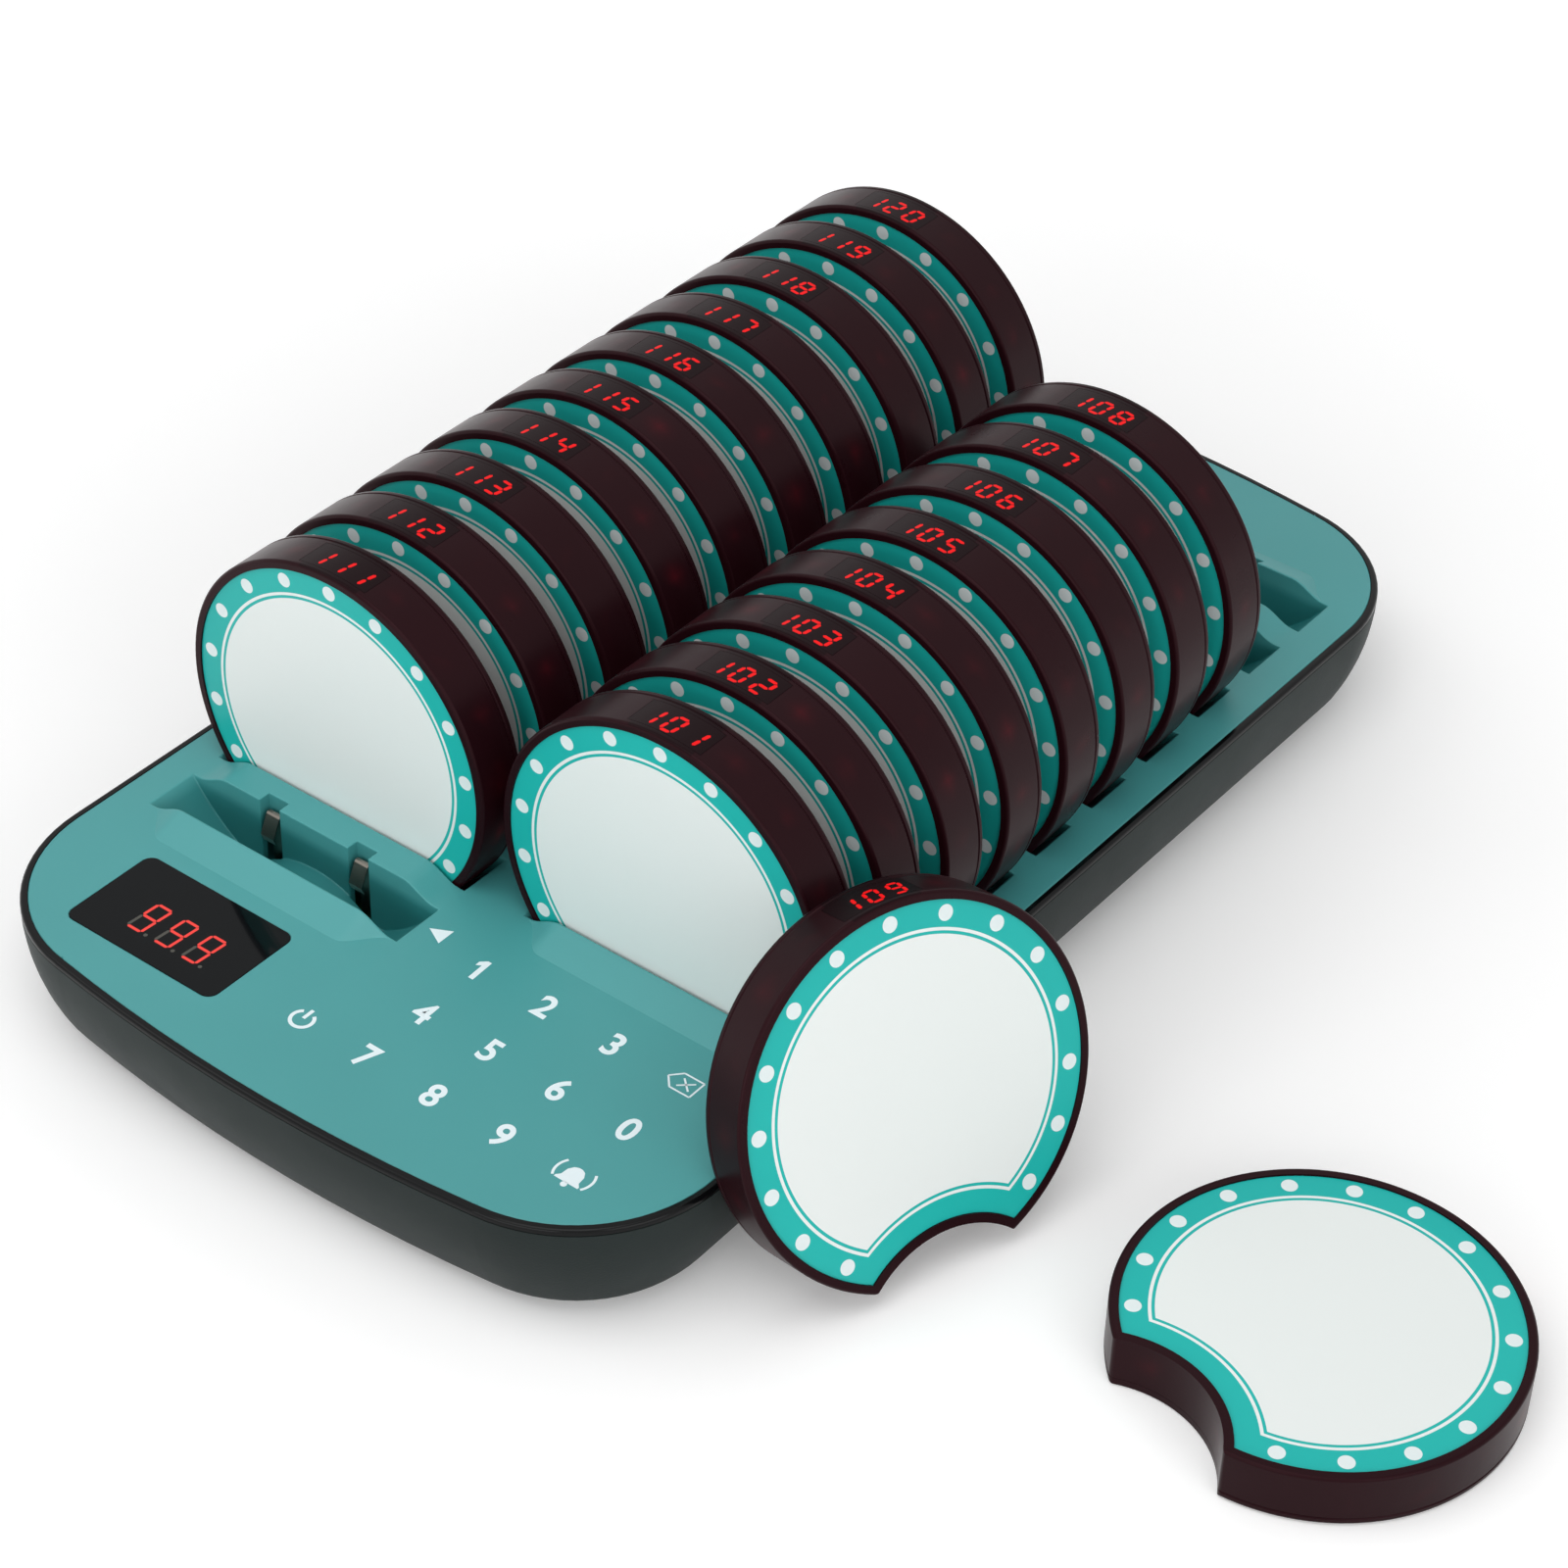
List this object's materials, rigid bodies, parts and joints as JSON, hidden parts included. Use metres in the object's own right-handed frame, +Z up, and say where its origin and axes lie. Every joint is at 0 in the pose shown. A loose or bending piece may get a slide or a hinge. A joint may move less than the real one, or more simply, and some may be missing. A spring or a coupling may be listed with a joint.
{
  "type": "guest pager system",
  "caption": "Guest pager system: a rounded charging base with a touch keypad, a digit display and two rows of slots, round coaster pagers standing in the slots and two loose ones beside it.",
  "frame": {"origin": "on the counter, under the middle of the base", "axes": "+Z up; +Y away from the keypad, along the rows of wells; +X to the right of someone at the keypad"},
  "size_m": [0.3891, 0.3802, 0.1125],
  "materials": {
    "deck_plastic": "satin",
    "frame_plastic": "gloss",
    "case_plastic": "fine matt texture",
    "window_plastic": "smoked gloss",
    "led_block": "matt",
    "circuit_board": "solder mask",
    "contact_metal": "nickel plated",
    "foot_rubber": "matt",
    "screw_steel": "zinc plated",
    "pager_plastic": "smoked satin gloss",
    "label_film": "satin printed film",
    "battery_foil": "foil pouch"
  },
  "bodies": {
    "base": {"top_cover": "deck_plastic", "rim_frame": "frame_plastic", "lower_case": "case_plastic", "display_window": "window_plastic", "display_module": "led_block", "key_board": "circuit_board", "main_board": "circuit_board", "charge_boards": "circuit_board", "charge_springs": "contact_metal", "antenna": "contact_metal", "buzzer": "led_block", "dc_jack": "led_block", "feet": "foot_rubber", "screws": "screw_steel"},
    "pager_101": {"pager_101_case": "pager_plastic", "pager_101_label": "label_film"},
    "pager_102": {"pager_102_case": "pager_plastic", "pager_102_label": "label_film"},
    "pager_103": {"pager_103_case": "pager_plastic", "pager_103_label": "label_film"},
    "pager_104": {"pager_104_case": "pager_plastic", "pager_104_label": "label_film"},
    "pager_105": {"pager_105_case": "pager_plastic", "pager_105_label": "label_film"},
    "pager_106": {"pager_106_case": "pager_plastic", "pager_106_label": "label_film"},
    "pager_107": {"pager_107_case": "pager_plastic", "pager_107_label": "label_film"},
    "pager_108": {"pager_108_case": "pager_plastic", "pager_108_label": "label_film"},
    "pager_109": {"pager_109_case": "pager_plastic", "pager_109_label": "label_film"},
    "pager_110": {"pager_110_case": "pager_plastic", "pager_110_back_cover": "pager_plastic", "pager_110_window": "window_plastic", "pager_110_label": "label_film", "pager_110_board": "circuit_board", "pager_110_battery": "battery_foil", "pager_110_display": "led_block", "pager_110_motor": "contact_metal"},
    "pager_111": {"pager_111_case": "pager_plastic", "pager_111_label": "label_film"},
    "pager_112": {"pager_112_case": "pager_plastic", "pager_112_label": "label_film"},
    "pager_113": {"pager_113_case": "pager_plastic", "pager_113_label": "label_film"},
    "pager_114": {"pager_114_case": "pager_plastic", "pager_114_label": "label_film"},
    "pager_115": {"pager_115_case": "pager_plastic", "pager_115_label": "label_film"},
    "pager_116": {"pager_116_case": "pager_plastic", "pager_116_label": "label_film"},
    "pager_117": {"pager_117_case": "pager_plastic", "pager_117_label": "label_film"},
    "pager_118": {"pager_118_case": "pager_plastic", "pager_118_label": "label_film"},
    "pager_119": {"pager_119_case": "pager_plastic", "pager_119_label": "label_film"},
    "pager_120": {"pager_120_case": "pager_plastic", "pager_120_label": "label_film"}
  },
  "joints": [
    {"name": "lift_101", "type": "slide", "parent": "base", "child": "pager_101", "axis": [0, 0, 1], "range_m": [0, 0.1]},
    {"name": "lift_102", "type": "slide", "parent": "base", "child": "pager_102", "axis": [0, 0, 1], "range_m": [0, 0.1]},
    {"name": "lift_103", "type": "slide", "parent": "base", "child": "pager_103", "axis": [0, 0, 1], "range_m": [0, 0.1]},
    {"name": "lift_104", "type": "slide", "parent": "base", "child": "pager_104", "axis": [0, 0, 1], "range_m": [0, 0.1]},
    {"name": "lift_105", "type": "slide", "parent": "base", "child": "pager_105", "axis": [0, 0, 1], "range_m": [0, 0.1]},
    {"name": "lift_106", "type": "slide", "parent": "base", "child": "pager_106", "axis": [0, 0, 1], "range_m": [0, 0.1]},
    {"name": "lift_107", "type": "slide", "parent": "base", "child": "pager_107", "axis": [0, 0, 1], "range_m": [0, 0.1]},
    {"name": "lift_108", "type": "slide", "parent": "base", "child": "pager_108", "axis": [0, 0, 1], "range_m": [0, 0.1]},
    {"name": "lift_109", "type": "slide", "parent": "base", "child": "pager_109", "axis": [0, 0, 1], "range_m": [0, 0.1]},
    {"name": "lift_110", "type": "slide", "parent": "base", "child": "pager_110", "axis": [0, 0, 1], "range_m": [0, 0.1]},
    {"name": "lift_111", "type": "slide", "parent": "base", "child": "pager_111", "axis": [0, 0, 1], "range_m": [0, 0.1]},
    {"name": "lift_112", "type": "slide", "parent": "base", "child": "pager_112", "axis": [0, 0, 1], "range_m": [0, 0.1]},
    {"name": "lift_113", "type": "slide", "parent": "base", "child": "pager_113", "axis": [0, 0, 1], "range_m": [0, 0.1]},
    {"name": "lift_114", "type": "slide", "parent": "base", "child": "pager_114", "axis": [0, 0, 1], "range_m": [0, 0.1]},
    {"name": "lift_115", "type": "slide", "parent": "base", "child": "pager_115", "axis": [0, 0, 1], "range_m": [0, 0.1]},
    {"name": "lift_116", "type": "slide", "parent": "base", "child": "pager_116", "axis": [0, 0, 1], "range_m": [0, 0.1]},
    {"name": "lift_117", "type": "slide", "parent": "base", "child": "pager_117", "axis": [0, 0, 1], "range_m": [0, 0.1]},
    {"name": "lift_118", "type": "slide", "parent": "base", "child": "pager_118", "axis": [0, 0, 1], "range_m": [0, 0.1]},
    {"name": "lift_119", "type": "slide", "parent": "base", "child": "pager_119", "axis": [0, 0, 1], "range_m": [0, 0.1]},
    {"name": "lift_120", "type": "slide", "parent": "base", "child": "pager_120", "axis": [0, 0, 1], "range_m": [0, 0.1]}
  ]
}
